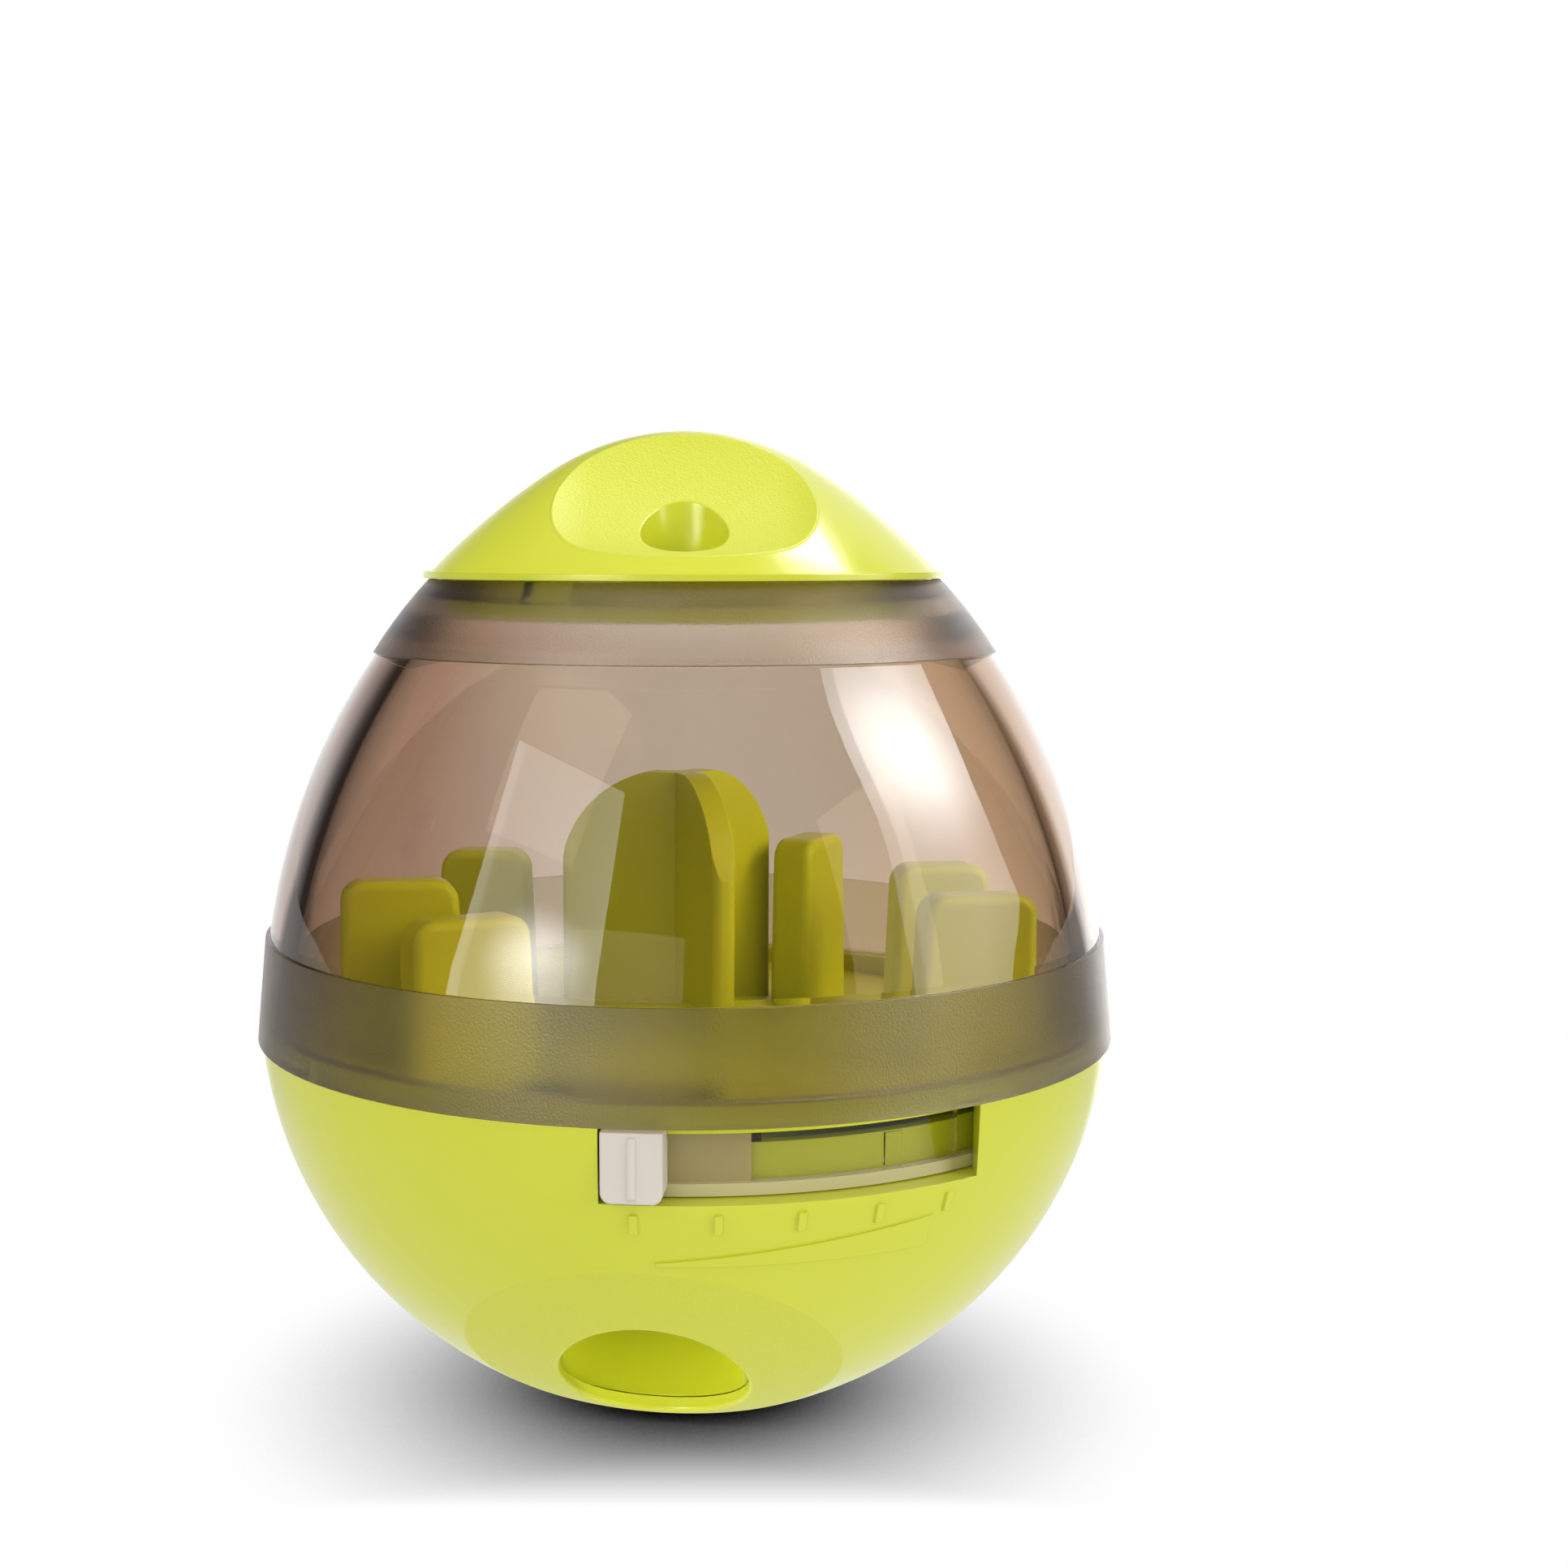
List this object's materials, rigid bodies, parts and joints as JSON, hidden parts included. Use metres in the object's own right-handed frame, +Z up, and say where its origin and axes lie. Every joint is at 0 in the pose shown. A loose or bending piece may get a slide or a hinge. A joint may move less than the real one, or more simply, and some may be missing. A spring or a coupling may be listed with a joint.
{
  "type": "wobble treat dispenser",
  "caption": "Weighted egg-shaped pet toy that wobbles and drops dry treats from a maze through an adjustable outlet and a mouth in its base.",
  "frame": {"origin": "centre of the small flat foot that the egg stands on", "axes": "+Z up along the egg's axis; -Y is the front, with the adjuster slot and the exit mouth; +X is the viewer's right"},
  "size_m": [0.0998, 0.0998, 0.1137],
  "materials": {
    "lime_shell": "glossy lime green, fine matt grain in the scoops and the dish",
    "lime_inner": "satin lime green",
    "smoke_dome": "smoke-brown clear plastic, frosted on the two bands",
    "clear_smoke": "clear pale smoke plastic",
    "white_knob": "milky white, satin",
    "weight_iron": "cast, bare",
    "screw_steel": "zinc-plated pan head"
  },
  "bodies": {
    "base": {"base_shell": "lime_shell", "counterweight": "weight_iron", "weight_screw": "screw_steel", "treat_chute": "lime_inner", "deck_screws": "screw_steel", "maze_disc": "lime_inner", "maze_screws": "screw_steel"},
    "adjuster": {"adjuster_ring": "clear_smoke", "adjuster_knob": "white_knob"},
    "dome": {"dome": "smoke_dome"},
    "cap": {"top_cap": "lime_shell", "cap_liner": "lime_inner", "cap_screws": "screw_steel"}
  },
  "joints": [
    {"name": "adjuster_turn", "type": "hinge", "parent": "base", "child": "adjuster", "pos_m": [0, 0, 0.041], "axis": [0, 0, 1], "range_deg": [0, 39.6]},
    {"name": "dome_twist", "type": "hinge", "parent": "base", "child": "dome", "pos_m": [0, 0, 0.046], "axis": [0, 0, 1], "range_deg": [0, 20]},
    {"name": "cap_twist", "type": "hinge", "parent": "dome", "child": "cap", "pos_m": [0, 0, 0.0971], "axis": [0, 0, 1], "range_deg": [0, 30]}
  ]
}
